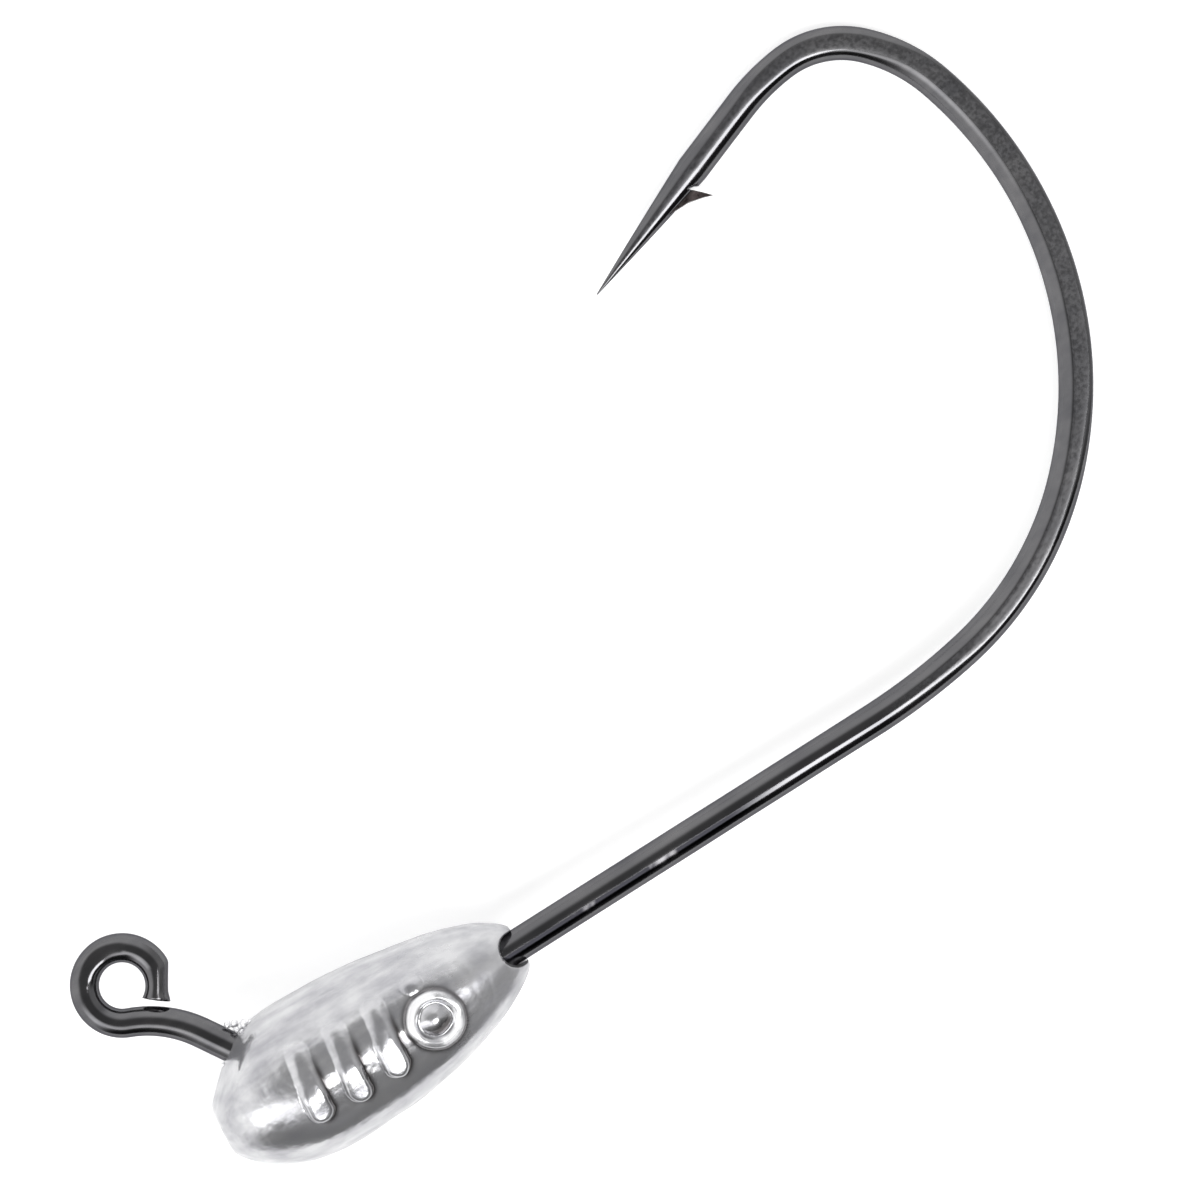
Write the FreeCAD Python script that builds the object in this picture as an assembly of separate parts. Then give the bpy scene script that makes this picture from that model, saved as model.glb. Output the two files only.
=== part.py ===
import FreeCAD, Part
import math
import os

"""Jig head: a wide-gap hook with a lead head cast round the bend below its eye.

Millimetres. The origin is the centre of the line eye. +X runs along the shank from the
eye to the bend, +Y from the shank towards the point, and +Z out of the hook's plane.
"""

# The wire. Headings are in degrees from +X, positive towards +Y.
WIRE_DIAMETER = 1.10          # shank, bend and point
EYE_WIRE_DIAMETER = 1.02      # eye and leg, drawn thinner as they were wound
EYE_RADIUS = 1.26             # centre of the eye to the centre of its wire
EYE_LAND = 0.40               # width of the flat that winding pressed inside the eye
EYE_CUT_ANGLE = -51.0         # where the wire's cut end lies round the eye
EYE_LEAVES_ANGLE = 247.5      # where the wire leaves the eye for the leg
EYE_PINCH_ANGLE = -33.0       # heading of the flat where the cut end was pressed closed
EYE_PINCH_DISTANCE = 1.53     # from the eye's centre to that flat
EYE_TO_SHANK_LINE = 5.91      # centre of the eye to the centre line of the shank
LEG_ANGLE = 58.0              # between the leg and the shank
LEG_NECK_RADIUS = 4.05        # gentle bend between the eye and the leg
KNEE_RADIUS = 1.6             # sharp bend from the leg to the shank, inside the head
SHANK_LENGTH = 21.55          # knee to the start of the bend

# The wide-gap bend is a chain of tangent arcs, each (radius, degrees turned).
BEND = ((22.0, 10.3), (11.25, 35.5), (13.4, 61.5), (5.65, 26.65), (3.2, 51.3), (7.65, 15.2))
POINT_LEG_LENGTH = 2.64       # end of the bend to the start of the needle
NEEDLE_LENGTH = 5.25
NEEDLE_TIP_RADIUS = 0.03

# The bend is forged flat on both faces. Each flat has a long shallow ramp at both ends.
FORGED_THICKNESS = 1.00
SHANK_RAMP = (25.0, 29.5)     # X where the ramp on the shank starts and ends
POINT_RAMP = (32.0, 35.5)     # X where the ramp on the point side ends and starts
BEND_MIDDLE_Y = 4.0           # between the shank side and the point side of the bend

# The barb, in distances back from the tip and out from the needle's centre line.
BARB_START = (3.40, 0.25)
BARB_BELLY = (4.22, 0.60)
BARB_TIP = (4.98, 1.09)
BARB_HOLLOW = (4.82, 0.66)
BARB_ROOT = (4.60, 0.30)
BARB_THICKNESS = 0.40

# The cast head: two half ellipsoids that share their widest section.
HEAD_CENTRE = (5.69, -5.86)   # on the head's own axis
HEAD_TILT = -1.6              # the head's axis to the shank, degrees
WIDEST_AT = -1.90             # along the head's axis from HEAD_CENTRE
HEAD_HALF_WIDTH = 2.72
HEAD_FLATNESS = 0.88          # thickness over width
NOSE_ELLIPSE = 3.78           # half length of the ellipsoid in front of the widest section
TAIL_ELLIPSE = 8.40           # and of the one behind it
NOSE_FLAT = (176.4, 3.59)     # heading that it faces, and how far it is from the widest section's centre
TAIL_FLAT = (0.0, 8.17)
SHOULDER_FLAT = (133.6, 3.02)  # where the leg enters
TAIL_NOTCH = (11.28, 1.10)    # X where it ends, and its width: it bares the wire on both faces
SEAM_WIDTH = 0.16             # across the mould's parting line
SEAM_HEIGHT = 0.07            # that the parting line stands out of the outline

# Relief on the +Z face, in the head's own axes: along from HEAD_CENTRE, then across.
RELIEF_HEIGHT = 0.13
RIB_WIDTH = 0.42
RIB_LEAN = 0.225              # along the head for each unit across it
RIB_TOP = 1.25                # across, where every rib starts
RIBS = ((-2.00, -1.65), (-0.55, -1.70), (0.90, -1.60), (2.45, 0.75))  # crossing the axis, lower end across
RING_CENTRE = (2.67, -0.50)
RING_OUTER_RADIUS = 0.99
RING_INNER_RADIUS = 0.62
DOME_RADIUS = 0.32

Z_AXIS = FreeCAD.Vector(0, 0, 1)
FAR = 50.0                    # longer than anything here


def heading_vector(degrees):
    """A unit vector in the hook's plane."""
    return FreeCAD.Vector(math.cos(math.radians(degrees)), math.sin(math.radians(degrees)), 0)


def section(position, heading, radius):
    """A round face across the wire."""
    circle = Part.Circle(position, heading_vector(heading), radius)
    return Part.Face(Part.Wire(circle.toShape()))


def straight_run(position, heading, length, radius):
    """A straight length of wire. Returns its solid and where it ends."""
    step = heading_vector(heading) * length
    return section(position, heading, radius).extrude(step), position + step, heading


def curved_run(position, heading, bend_radius, turn, radius):
    """A round bend in the wire, to the left where turn is positive."""
    side = math.copysign(90.0, turn)
    centre = position + heading_vector(heading + side) * bend_radius
    axis = Z_AXIS * math.copysign(1.0, turn)
    solid = section(position, heading, radius).revolve(centre, axis, abs(turn))
    end = centre - heading_vector(heading + turn + side) * bend_radius
    return solid, end, heading + turn


def joined(solids):
    """Solids that meet face to face or overlap, as one."""
    return solids[0].multiFuse(solids[1:]).removeSplitter()


def pinch_cut():
    """What the pliers pressed off the outside of the eye, beside its cut end."""
    outward = heading_vector(EYE_PINCH_ANGLE)
    along = heading_vector(EYE_PINCH_ANGLE + 90)
    corner = outward * EYE_PINCH_DISTANCE - along * EYE_RADIUS - Z_AXIS * EYE_RADIUS
    side = along * (2 * EYE_RADIUS)
    corners = [corner, corner + side, corner + side + outward, corner + outward, corner]
    face = Part.Face(Part.makePolygon(corners))
    return face.extrude(Z_AXIS * (2 * EYE_RADIUS))


def eye_and_leg():
    """The eye, wound from the wire's cut end, then the leg and the knee down to the shank's line."""
    radius = EYE_WIRE_DIAMETER / 2
    start = heading_vector(EYE_CUT_ANGLE) * EYE_RADIUS
    sweep = EYE_LEAVES_ANGLE - EYE_CUT_ANGLE
    ring, at, heading = curved_run(start, EYE_CUT_ANGLE + 90, EYE_RADIUS, sweep, radius)
    ring = ring.cut(pinch_cut())
    neck_turn = -LEG_ANGLE - (heading - 360)
    neck, at, heading = curved_run(at, heading, LEG_NECK_RADIUS, neck_turn, radius)
    knee_drop = KNEE_RADIUS * (1 - math.cos(math.radians(LEG_ANGLE)))
    leg_drop = EYE_TO_SHANK_LINE + at.y - knee_drop
    leg_length = leg_drop / math.sin(math.radians(LEG_ANGLE))
    leg, at, heading = straight_run(at, heading, leg_length, radius)
    knee, at, heading = curved_run(at, heading, KNEE_RADIUS, LEG_ANGLE, radius)
    return joined([ring, neck, leg, knee]), at


def shank_and_bend(at):
    """The shank, the wide-gap bend and the straight leg behind the needle."""
    radius = WIRE_DIAMETER / 2
    shank, at, heading = straight_run(at, 0.0, SHANK_LENGTH, radius)
    runs = [shank]
    for bend_radius, turn in BEND:
        run, at, heading = curved_run(at, heading, bend_radius, turn, radius)
        runs.append(run)
    run, at, heading = straight_run(at, heading, POINT_LEG_LENGTH, radius)
    runs.append(run)
    return joined(runs), at, heading


def needle(at, heading):
    """The point: a cone with a very small round tip."""
    forward = heading_vector(heading)
    cone = Part.makeCone(WIRE_DIAMETER / 2, NEEDLE_TIP_RADIUS, NEEDLE_LENGTH, at, forward)
    tip = at + forward * NEEDLE_LENGTH
    return cone.fuse(Part.makeSphere(NEEDLE_TIP_RADIUS, tip)), tip


def barb(tip, heading):
    """The sliver lifted from the inner side of the needle, pointing back at the bend."""
    back = heading_vector(heading) * -1
    out = heading_vector(heading + 90)

    def place(distances):
        return tip + back * distances[0] + out * distances[1] - Z_AXIS * (BARB_THICKNESS / 2)

    start, belly, end = place(BARB_START), place(BARB_BELLY), place(BARB_TIP)
    hollow, root = place(BARB_HOLLOW), place(BARB_ROOT)
    edges = [
        Part.Arc(start, belly, end).toShape(),
        Part.Arc(end, hollow, root).toShape(),
        Part.LineSegment(root, start).toShape(),
    ]
    return Part.Face(Part.Wire(edges)).extrude(Z_AXIS * BARB_THICKNESS)


def forging_cut(ramp, low_y, high_y):
    """The metal that forging presses away above one side of the bend, from ramp start to far right."""
    half = FORGED_THICKNESS / 2
    start, end = ramp
    top = WIRE_DIAMETER
    corners = [(start, WIRE_DIAMETER / 2), (end, half), (FAR, half), (FAR, top), (start, top)]
    points = [FreeCAD.Vector(x, low_y, z) for x, z in corners]
    face = Part.Face(Part.makePolygon(points + points[:1]))
    above = face.extrude(FreeCAD.Vector(0, high_y - low_y, 0))
    return [above, above.mirror(FreeCAD.Vector(0, 0, 0), Z_AXIS)]


def make_hook():
    """One wire: eye, leg, knee, shank, forged bend, barb and needle."""
    upper, knee_end = eye_and_leg()
    lower, at, heading = shank_and_bend(knee_end)
    point, tip = needle(at, heading)
    wire = joined([upper, lower, point])
    cuts = forging_cut(SHANK_RAMP, -FAR, BEND_MIDDLE_Y) + forging_cut(POINT_RAMP, BEND_MIDDLE_Y, FAR)
    land_radius = EYE_RADIUS - math.sqrt((EYE_WIRE_DIAMETER / 2) ** 2 - (EYE_LAND / 2) ** 2)
    eye_bore = Part.makeCylinder(land_radius, FAR, FreeCAD.Vector(0, 0, -FAR / 2))
    print(f"eye bore radius {land_radius:.4f}, tip at {tip.x:.3f}, {tip.y:.3f}")
    return joined([wire.cut(cuts + [eye_bore]), barb(tip, heading)])


def half_ellipse_edge(length, height, towards_tail):
    """A quarter ellipse from the head's axis to its widest section, or on from there to the axis."""
    side = 1 if towards_tail else -1
    middle = FreeCAD.Vector(WIDEST_AT, 0, 0)
    on_axis = middle + FreeCAD.Vector(side * length, 0, 0)
    widest = middle + FreeCAD.Vector(0, height, 0)
    if length > height:
        ellipse = Part.Ellipse(on_axis, widest, middle)
    else:
        ellipse = Part.Ellipse(widest, on_axis, middle)
    first, last = sorted((ellipse.parameter(on_axis), ellipse.parameter(widest)))
    if last - first > math.pi:
        first, last = last, first + 2 * math.pi
    return Part.ArcOfEllipse(ellipse, first, last).toShape()


def head_blank(grow):
    """The two half ellipsoids, grown all over by a skin, in the head's own axes."""
    height = HEAD_HALF_WIDTH + grow
    edges = [
        half_ellipse_edge(NOSE_ELLIPSE + grow, height, False),
        half_ellipse_edge(TAIL_ELLIPSE + grow, height, True),
        Part.makeLine(
            FreeCAD.Vector(WIDEST_AT + TAIL_ELLIPSE + grow, 0, 0),
            FreeCAD.Vector(WIDEST_AT - NOSE_ELLIPSE - grow, 0, 0),
        ),
    ]
    profile = Part.Face(Part.Wire(Part.__sortEdges__(edges)))
    round_blank = profile.revolve(FreeCAD.Vector(WIDEST_AT, 0, 0), FreeCAD.Vector(1, 0, 0), 360)
    flatten = FreeCAD.Matrix()
    flatten.scale(1, 1, HEAD_FLATNESS)
    return round_blank.transformGeometry(flatten)


def beyond(flat):
    """Everything outside a flat that faces a heading, in the head's own axes."""
    heading, distance = flat
    outside = Part.makeBox(FAR, FAR, FAR, FreeCAD.Vector(0, -FAR / 2, -FAR / 2))
    outside.rotate(FreeCAD.Vector(0, 0, 0), Z_AXIS, heading)
    outside.translate(FreeCAD.Vector(WIDEST_AT, 0, 0) + heading_vector(heading) * distance)
    return outside


def slot_prism(start, end, width):
    """A round-ended bar from start to end, standing upright through the +Z face."""
    a = FreeCAD.Vector(start[0], start[1], 0)
    b = FreeCAD.Vector(end[0], end[1], 0)
    side = Z_AXIS.cross(b - a).normalize() * (width / 2)
    along = (b - a).normalize() * (width / 2)
    edges = [
        Part.makeLine(a + side, b + side),
        Part.Arc(b + side, b + along, b - side).toShape(),
        Part.makeLine(b - side, a - side),
        Part.Arc(a - side, a - along, a + side).toShape(),
    ]
    return Part.Face(Part.Wire(edges)).extrude(Z_AXIS * FAR)


def tail_notches():
    """The round-ended notch in each face, along the shank, where the wire comes out of the lead."""
    end, width = TAIL_NOTCH
    shank_y = -EYE_TO_SHANK_LINE
    above = slot_prism((end + width / 2, shank_y), (FAR, shank_y), width)
    return [above, above.mirror(FreeCAD.Vector(0, 0, 0), Z_AXIS)]


def relief():
    """Raised ribs and a raised ring with a dome in it, as upright prisms."""
    centre = FreeCAD.Vector(RING_CENTRE[0], RING_CENTRE[1], 0)
    ring = Part.makeCylinder(RING_OUTER_RADIUS, FAR, centre)
    ring = ring.cut(Part.makeCylinder(RING_INNER_RADIUS, FAR, centre))
    dome = Part.makeCylinder(DOME_RADIUS, FAR, centre)
    ribs = []
    for at, bottom in RIBS:
        start = (at + RIB_LEAN * RIB_TOP, RIB_TOP)
        end = (at + RIB_LEAN * bottom, bottom)
        ribs.append(slot_prism(start, end, RIB_WIDTH))
    return ribs + [ring, dome]


def seam():
    """The thin fin all round where the two mould halves met."""
    slab = Part.makeBox(FAR, FAR, SEAM_WIDTH, FreeCAD.Vector(-FAR / 2, -FAR / 2, -SEAM_WIDTH / 2))
    return head_blank(SEAM_HEIGHT).common(slab)


def make_head(hook):
    """The casting. Its nose is flat where the sprue was nipped off, and so are its tail and its shoulder."""
    skin = head_blank(RELIEF_HEIGHT)
    raised = [skin.common(prism) for prism in relief()]
    casting = joined([head_blank(0.0), seam()] + raised)
    casting = casting.cut([beyond(NOSE_FLAT), beyond(TAIL_FLAT), beyond(SHOULDER_FLAT)])
    casting.rotate(FreeCAD.Vector(0, 0, 0), Z_AXIS, HEAD_TILT)
    casting.translate(FreeCAD.Vector(HEAD_CENTRE[0], HEAD_CENTRE[1], 0))
    return casting.cut([hook] + tail_notches())


def save(shape, node):
    """Write one node's solid and print its size."""
    solids = shape.Solids
    print(f"{node}: {len(solids)} solid, valid {shape.isValid()}, {shape.Volume:.2f} mm3")
    solids[0].exportStep(f"parts/{node}.step")


os.makedirs("parts", exist_ok=True)
hook_solid = make_hook()
save(hook_solid, "hook")
save(make_head(hook_solid), "cast_head")
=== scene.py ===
import math

import bmesh
import bpy
import numpy as np
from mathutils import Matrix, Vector, noise


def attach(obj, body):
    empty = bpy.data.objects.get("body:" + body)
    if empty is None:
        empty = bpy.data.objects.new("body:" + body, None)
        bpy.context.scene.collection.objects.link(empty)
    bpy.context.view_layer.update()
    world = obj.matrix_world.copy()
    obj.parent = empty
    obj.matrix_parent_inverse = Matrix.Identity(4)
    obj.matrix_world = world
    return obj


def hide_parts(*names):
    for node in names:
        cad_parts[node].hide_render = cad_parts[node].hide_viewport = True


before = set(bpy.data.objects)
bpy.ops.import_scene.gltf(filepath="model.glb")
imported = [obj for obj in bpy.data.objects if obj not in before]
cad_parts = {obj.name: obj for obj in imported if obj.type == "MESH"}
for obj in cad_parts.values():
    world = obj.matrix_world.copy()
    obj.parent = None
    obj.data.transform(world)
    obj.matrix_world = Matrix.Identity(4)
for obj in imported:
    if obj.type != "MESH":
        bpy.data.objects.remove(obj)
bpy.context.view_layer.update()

# A jig head. Lengths are millimetres here, and MM turns them into Blender's metres.
MM = 0.001

# The wire's centre line, as the CAD design has it. Headings are degrees from +X towards +Y.
EYE_RADIUS = 1.26
EYE_CUT_ANGLE = -54.0         # 3 degrees nearer the leg than the CAD design's
EYE_LEAVES_ANGLE = 247.5
EYE_TO_SHANK_LINE = 5.91
LEG_ANGLE = 58.0
LEG_NECK_RADIUS = 4.05
KNEE_RADIUS = 1.6
SHANK_LENGTH = 21.55
BEND = ((22.0, 10.3), (11.25, 35.5), (13.4, 61.5), (5.65, 26.65), (3.2, 51.3), (7.65, 15.2))   # radius, turn
POINT_LEG_LENGTH = 2.64
NEEDLE_LENGTH = 5.25
WIRE_STEP = 0.09              # between one ring of vertices and the next
WIRE_SIDES = 56

# Half the wire's width in the hook's plane. It is as thick as it is wide where nothing has flattened it.
EYE_HALF = 0.49
LEG_HALF = 0.515
SHANK_HALF = 0.55
BEND_HALF = 0.572
POINT_LEG_HALF = 0.538
NEEDLE_TIP_HALF = 0.022
NEEDLE_FULLNESS = 0.12        # how much fuller than a cone the needle is
WOBBLE_WAVES = 0.35           # of the width, waves per mm
WOBBLE_PLACE = 3.1            # where in the noise it is read
WOBBLE_SHARE = 0.012

# Stretches of the wire: a run and mm past its end where a change begins, and the same where it ends.
WIDTH_CHANGES = (
    (("ring", -0.5, "neck", 0.0), LEG_HALF),
    (("knee", 0.0, "knee", 1.0), SHANK_HALF),
    (("shank", -2.0, "bend1", 0.0), BEND_HALF),
    (("bend3", 0.0, "bend5", 1.0), POINT_LEG_HALF),
)
FORGING_BEGINS = ("shank", -3.5, "bend0", 1.5)
FORGING_ENDS = ("bend4", 0.5, "point_leg", 0.5)
SQUARING_BEGINS = ("bend1", -2.0, "bend1", 4.0)
SHAPING_ENDS = ("bend2", 0.0, "bend3", 1.0)

# What dies, winding and pliers pressed.
FORGED_HALF_THICKNESS = 0.505
FORGED_INNER_EDGE = 0.12      # where the forged face ends towards the inside of the bend, in half widths
FORGED_INNER_SHAPE = 1.5      # exponent of the slope from there to the inside
FORGED_OUTER_SHAPE = 7.0      # exponent of the squarer outside
FLAT_SHARPNESS = 16.0         # how tight the edge of a flat is
NO_FLAT = 1.5                 # half widths up, where a flat no longer touches the wire
WINDING_MARK = (3.35, 1.0)    # distance along and half length of the flat inside the eye
WINDING_FLAT = (1.02, 0.90)   # how high it is at its ends and its middle, in half widths
EYE_PINCH_ANGLE = -33.0
EYE_PINCH_DISTANCE = 1.53
EYE_PINCH_REACH = (-30.0, 60.0)   # degrees either way
CUT_END_SLANT = 14.0          # that the cut end of the eye leans, degrees
CUT_END_LENGTH = 0.8
BURR_HEIGHT = 0.05            # at the cut end
BURR_LENGTH = 0.3

# The barb, from its root to its tip: distances back from the needle's tip and out from its centre line.
BARB_FRONT = ((3.30, 0.22), (4.27, 0.57), (4.71, 0.86), (4.98, 1.085))
BARB_BACK = ((4.57, 0.22), (4.70, 0.47), (4.83, 0.74), (4.98, 1.085))
BARB_EDGE_AT = (0.0, 0.45, 0.75, 1.0)        # share of the way up the barb of each of those places
BARB_HALF_THICKNESS = (0.24, 0.22, 0.15, 0.035)
BARB_THICKNESS_AT = (0.0, 0.45, 0.8, 1.0)
BARB_STEPS = 22
BARB_SIDES = 4
SLIT = ((4.60, 0.27), (4.76, 0.62), (5.02, 0.66), (4.84, 0.40))   # behind it, where it was cut free
SLIT_HALF_DEPTH = 0.7

# The casting, in its own axes: s along it from HEAD_CENTRE, b across it, and up.
HEAD_CENTRE = (5.69, -5.86)
HEAD_TILT = -1.6
WIDEST_AT = -1.90
HEAD_HALF_WIDTH = 2.69
HEAD_FLATNESS = 0.88
NOSE_ELLIPSE = 3.78
TAIL_ELLIPSE = 8.40
BOW_AT_NOSE = -0.07           # sideways shift of its middle
BOW_CHANGE = 0.16             # of that shift, towards the tail
BOW_OVER = (1.5, 6.0)
HEAD_ROWS = (140, 270)        # rings of vertices from the nose to the widest section, and on to the tail
HEAD_SIDES = (172, 62)        # vertices round its marked half and its plain half
SIDE_FACET = (31.5, 0.948)    # a flat along the -Y side: heading from up, and distance in half widths
SIDE_FACET_SHARPNESS = 20
SIDE_FACET_FROM = -3.3        # where along the head it begins
SIDE_FACET_FADE = (0.08, 1.7)     # how much farther out it is before that, and over what length
NOSE_FLAT = (176.4, 3.56)     # heading that it faces, and how far it is from the widest section's centre
NOSE_SLOPE = 7.0              # that it leans back towards its marked face
NOSE_SOFTNESS = 0.05          # how round a flat's edge is
SHOULDER_FLAT = (133.6, 3.00)
SHOULDER_SLOPE = 22.0         # that the shoulder leans back above and below the seam
SHOULDER_SOFTNESS = 0.11
TAIL_FLAT = (0.0, 8.12)
TAIL_SOFTNESS = 0.03
NOTCH_AT = 11.24              # X where the notch over the wire ends
NOTCH_HALF_WIDTH = 0.58
NOTCH_SHIFT = 0.05            # that the notch lies to the -Y side of the wire
NOTCH_ROUND = 0.50            # length of its rounded end
NOTCH_EDGE = (-0.05, 0.03)    # over which its sides slope
NOTCH_DEPTH = 0.88            # share of the lead's height over the wire that is missing

# The raised marks on its +Z face, and the painted shade in the creases beside them.
MARKED_FACE = (0.15, 0.5)     # how far up the skin has to face
RIB_HEIGHTS = (0.13, 0.34)    # at its upper and its lower end
RIB_RISE = 3                  # exponent of the rise between them
RIB_HALF_WIDTHS = (0.40, 0.46)
RIB_SHAPES = (2.0, 7.0)       # exponent of its profile: round at the upper end, flat on top at the lower
RIB_SHAPE_OVER = (0.45, 0.85)     # share of the way down over which its profile changes
RIB_LEAN = 0.14               # along the head for each unit across it
RIB_TOP = 1.25                # across the head, where every rib begins
RIB_LENGTH = 2.85             # over which they reach their full height
RIBS = ((-1.92, -1.55), (-0.48, -1.60), (0.98, -1.55), (2.45, 0.50))   # crossing the axis, lower end
RING_CENTRE = (2.67, -0.50)
RING_MIDDLE_RADIUS = 0.80
RING_HALF_WIDTH = 0.20
RING_TOP = 0.06               # half width of its level top
RING_FOOT = 0.05              # that its foot spreads beyond its half width
RING_HEIGHT = 0.9             # against the dome's
RING_CLEARANCE = 0.3          # over which the ribs rise, away from it
DOME_RADIUS = 0.54
DOME_HEIGHT = 0.21
CREASE_SHADE_AWAY = 0.02             # from the foot of a mark to the middle of its dark line
CREASE_SHADE_WIDTH = 0.115
CREASE_SHADE_BEYOND_MIDDLE = (-0.15, 0.25)   # across a rib towards the tail, over which the line begins
CREASE_SHADE_DOWN_RIB = (0.12, 0.45)         # share of the way down a rib, over which it begins
CREASE_SHADE_ROUND_RING = 0.8        # against the line beside a rib
CREASE_SHADE_CLEAR_OF_RING = 0.1
CREASE_SHADE_IN_RING = (0.25, -0.97)     # direction in which it lies from the ring's centre
CREASE_SHADE_IN_RING_FROM = (-0.05, 0.3)
CREASE_SHADE_BY_DOME = (0.12, 0.08)      # inside and outside the dome's edge, over which it ends

# Unevenness of the casting's skin: height, waves per mm and seed of each noise.
BROAD_LUMPS = (0.022, 0.42, 1)
SMALL_LUMPS = (0.012, 1.1, 2)
FOLDS = (-0.006, 1.9, 3)
FOLD_STRETCH = (1.0, 0.55, 0.8)
FOLD_WIDTH = 0.3
GRIT = (0.004, 4.2, 4)
STREAKS = (0.006, 3.6, 7)
STREAK_STRETCH = (0.35, 1.0, 1.0)
MARKS_WARP = (0.04, 1.9, 5)   # sideways
MARKS_FILL = (0.3, 1.0, 8)    # how well the lead filled the marks
MARKS_FILL_MEAN = 0.9
FLASH = (0.5, 0.9, 6)         # along the seam
FLASH_MEAN = 0.6
FLASH_RANGE = (0.1, 1.2)
SEAM_HEIGHT = 0.035
SEAM_AT = 0.03                # above the hook's plane
SEAM_WIDTH = 0.055
CALM_SHARE = 0.65             # of the unevenness, that is missing from the calm parts
CALM_FLANK_FROM = (0.7, 1.1)  # towards -Y, where the calm flank below the marks begins
CALM_FLANK_TO = (1.9, 2.3)
CALM_TAIL_FROM = (3.4, 4.4)   # along the head
CALM_TAIL_SHARE = 0.6         # against the flank

# Crumbs of flash beside the leg: along the leg from where it enters, across it, up, and radius.
CRUMBS = (
    (-0.22, 0.64, 0.20, 0.12),
    (-0.04, 0.76, 0.12, 0.14),
    (0.12, 0.64, 0.36, 0.11),
    (0.26, 0.90, 0.26, 0.15),
    (0.36, 0.66, 0.44, 0.13),
    (0.44, 1.04, 0.34, 0.11),
    (0.24, -0.62, 0.22, 0.09),
)
CRUMB_WAVES = 1.1             # of its roughness, for each radius
CRUMB_ROUGHNESS = 0.6
CRUMB_SEED_STEP = 3.7

# Looks. A noise is waves per metre, detail and, where it has any, distortion. Each tone has the noise's
# value at which it is reached. Other pairs are the two ends of a range.
NOISE_RANGE = (0.3, 0.7)      # that most of a noise's values lie in
NICKEL_TINT = (0.45, 0.45, 0.47)
NICKEL_TONES = ((0.3, (0.090, 0.090, 0.096)), (0.72, (0.145, 0.143, 0.146)))
NICKEL_GRAIN = (9000, 3)
NICKEL_PATCHES = (520, 4)
NICKEL_STREAKS = (2600, 3)
NICKEL_STREAK_STRETCH = (0.15, 1, 1)
NICKEL_ROUGHNESS = (0.10, 0.20)
FORGED_ROUGHNESS = (0.30, 0.46)
FORGED_FROM = (24.0, 30.0)    # X over which the grained faces of the bend begin
FORGED_FACING = (0.955, 0.99)     # how squarely up or down a forged face looks
GRAIN_DEPTH = 0.003
GRAIN_STRENGTH = (0.12, 0.8)  # on the round wire and on the forged faces
# Painted shade along the -Y side of the shank beside the casting. It darkens the colour where the key light's
# reflection falls, and it has gaps where the reflection shows in spots.
SHANK_SHADE_COLOUR = (0.010, 0.010, 0.012)
SHANK_SHADE_BEFORE_NOTCH = 1.0      # mm before the notch's end, where the painted shade beside the casting begins
SHANK_SHADE_FADES = (20.0, 23.0)    # X
SHANK_SHADE_UPPER_EDGE = (-0.18, -0.11)     # Y that the wire's surface faces
SHANK_SHADE_LOWER_EDGE = (-0.66, -0.50)
SHANK_SHADE_GAPS = (0.60, 0.68)
SHANK_SHADE_IN_GAPS = 0.25
STEEL_TONES = ((0.0, (0.030, 0.024, 0.024)), (1.0, (0.075, 0.064, 0.062)))
STEEL_GRAIN = (5000, 3)
STEEL_ROUGHNESS = (0.25, 0.45)
LEAD_TONES = ((0.36, (0.36, 0.36, 0.38)), (0.62, (0.55, 0.55, 0.56)))
LEAD_SPECULAR = 0.2
LEAD_METALLIC = 0.80
LEAD_PATCHES = (900, 6)
LEAD_STREAKS = (2600, 4)
LEAD_STREAK_STRETCH = (0.22, 1, 1)
LEAD_PORES = (7500, 3)
LEAD_WRINKLES = (2300, 4, 0.6)
LEAD_MOTTLE_RANGE = (0.35, 0.65)
LEAD_ROUGHNESS = (0.26, 0.15)
TAIL_DULL_OVER = (7.8, 10.5)  # X over which the smoother body turns into the duller tail
TAIL_DULLNESS = 0.13
PORE_DEPTH = 0.005
WRINKLE_DEPTH = 0.012
LEAD_BUMP_STRENGTH = 0.6
# A painted highlight: the top of the ring is painted pale.
RING_HIGHLIGHT_COLOUR = (0.92, 0.92, 0.93)
RING_HIGHLIGHT_METALLIC = 0.25
RING_HIGHLIGHT_EDGE = (0.08, 0.2)     # away from the middle of the ring
RING_HIGHLIGHT_HEIGHT = (0.5, 1.0)    # Z
RING_HIGHLIGHT_PATCHES = (0.36, 0.52)
RING_HIGHLIGHT_LEAST = 0.25
# colour of the painted shade in the creases beside the marks
CREASE_SHADE_COLOUR = (0.060, 0.054, 0.054)
CREASE_SHADE_STRENGTH = 0.95
FLASH_TONES = ((0.0, (0.72, 0.72, 0.74)), (1.0, (0.95, 0.95, 0.96)))
FLASH_METALLIC = 0.45
FLASH_FROST = (6000, 3)
FLASH_ROUGHNESS = (0.2, 0.45)

# The camera looks straight down. The shank rises to the right in its picture.
VIEW_CENTRE = (20.33, 2.34)
VIEW_WIDTH = 40.0
VIEW_ROLL = 32.33
LENS = 150.0
SENSOR = 36.0

# The hook lies tilted on the floor: on its head, its bend and its point.
FLOOR_SLOPE_X = 0.0432
FLOOR_SLOPE_Y = 0.0369
FLOOR_HALF_SIZE = 3.0         # metres
FLOOR_COLOUR = (0.72, 0.72, 0.72)
FLOOR_CLOUDS = (12, 2)
FLOOR_CLOUDINESS = (0.98, 1.02)
FLOOR_GLOW = 0.50             # light that the floor gives out itself, which keeps the shadows faint

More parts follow.
